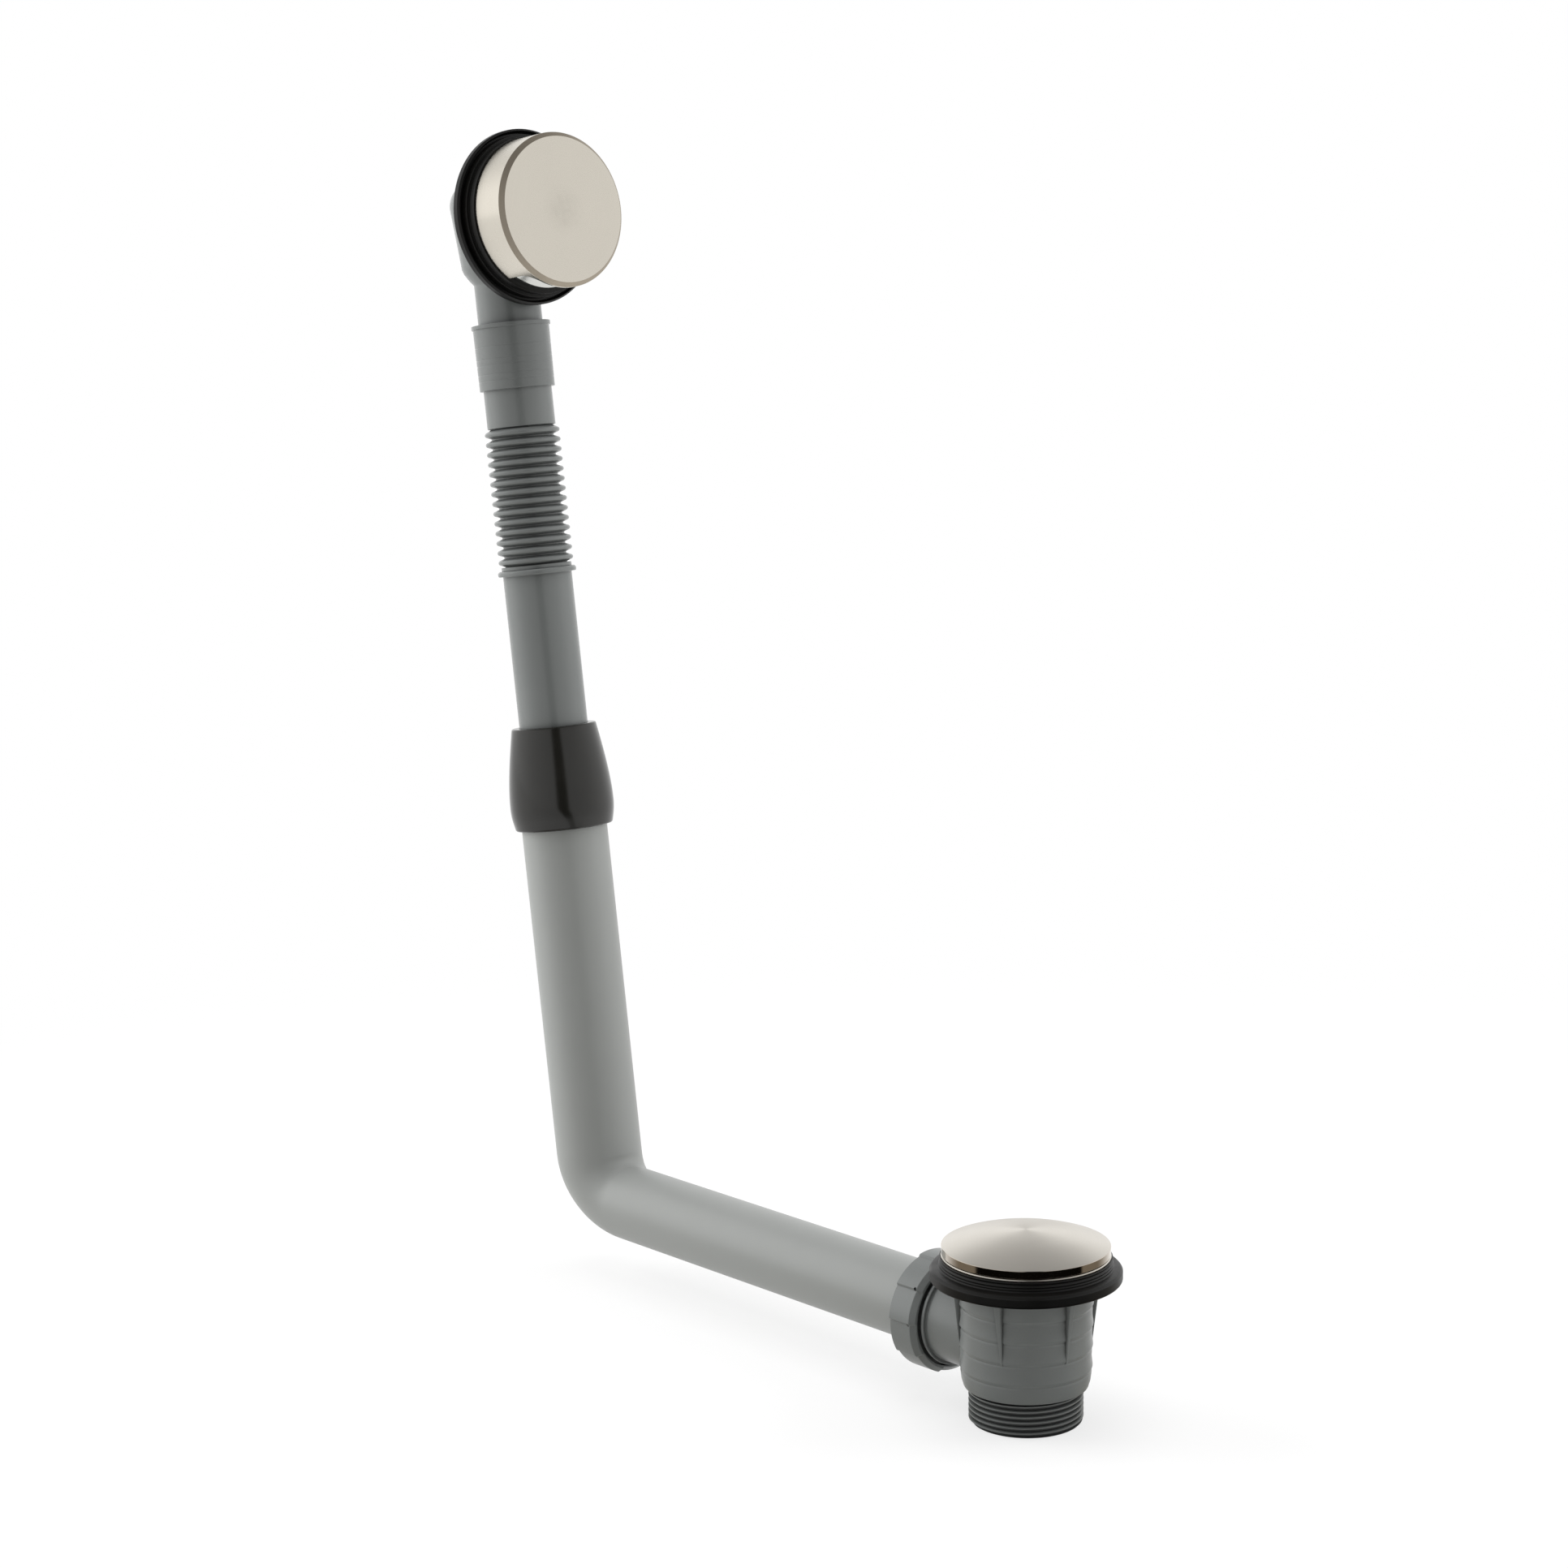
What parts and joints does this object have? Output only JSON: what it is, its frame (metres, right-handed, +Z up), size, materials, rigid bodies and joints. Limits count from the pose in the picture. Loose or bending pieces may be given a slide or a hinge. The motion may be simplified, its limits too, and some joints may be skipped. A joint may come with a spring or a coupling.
{
  "type": "bath waste and overflow",
  "caption": "Bath waste with click plug, threaded outlet and side union to a leaning bend pipe, with a telescopic flexible pipe up to a round overflow cap.",
  "frame": {"origin": "centre of the waste flange's underside, where it seats on the bath floor", "axes": "+Z up along the waste, -X along the horizontal pipe, +X the way the overflow faces"},
  "size_m": [0.4015, 0.0804, 0.5324],
  "materials": {
    "brushed_nickel": "brushed nickel plate, warm",
    "polished_steel": "polished",
    "light_grey_plastic": "satin moulded polypropylene",
    "mid_grey_plastic": "satin moulded polypropylene",
    "dark_grey_plastic": "satin moulded polypropylene",
    "black_rubber": "satin black rubber",
    "turned_brass": "turned",
    "stainless_steel": "satin",
    "white_plastic": "moulded"
  },
  "bodies": {
    "waste": {"waste_flange": "polished_steel", "flange_seal": "black_rubber", "body_gasket": "black_rubber", "waste_body": "dark_grey_plastic", "cartridge_barrel": "turned_brass", "plug_spring": "stainless_steel", "compression_ring": "black_rubber", "slip_ring": "white_plastic", "union_nut": "dark_grey_plastic", "bend_pipe": "light_grey_plastic", "rubber_sleeve": "black_rubber"},
    "plug": {"plug_dome": "brushed_nickel", "plug_carrier": "white_plastic", "plug_seal": "black_rubber", "plug_stem": "turned_brass"},
    "upper_pipe": {"telescopic_tube": "mid_grey_plastic", "flex_hose": "mid_grey_plastic"},
    "hose_end": {"spigot_seal": "black_rubber"},
    "overflow_head": {"overflow_elbow": "mid_grey_plastic", "screw_insert": "turned_brass", "overflow_gasket": "black_rubber", "overflow_grid": "stainless_steel", "overflow_screw": "stainless_steel", "overflow_cap": "brushed_nickel"}
  },
  "joints": [
    {"name": "plug_travel", "type": "slide", "parent": "waste", "child": "plug", "axis": [0, 0, 1], "range_m": [0, 0.008], "deforming": ["plug_spring"]},
    {"name": "overflow_height", "type": "slide", "parent": "waste", "child": "upper_pipe", "axis": [-0.1323, 0, 0.9912], "range_m": [-0.06, 0.04]},
    {"name": "bellows_bend", "type": "hinge", "parent": "upper_pipe", "child": "hose_end", "pos_m": [-0.32247, 0, 0.29318], "axis": [0, 1, 0], "range_deg": [-20, 20], "deforming": ["flex_hose"]},
    {"name": "overflow_swivel", "type": "hinge", "parent": "hose_end", "child": "overflow_head", "pos_m": [-0.3315, 0, 0.36089], "axis": [-0.1323, 0, 0.9912], "continuous": true}
  ]
}
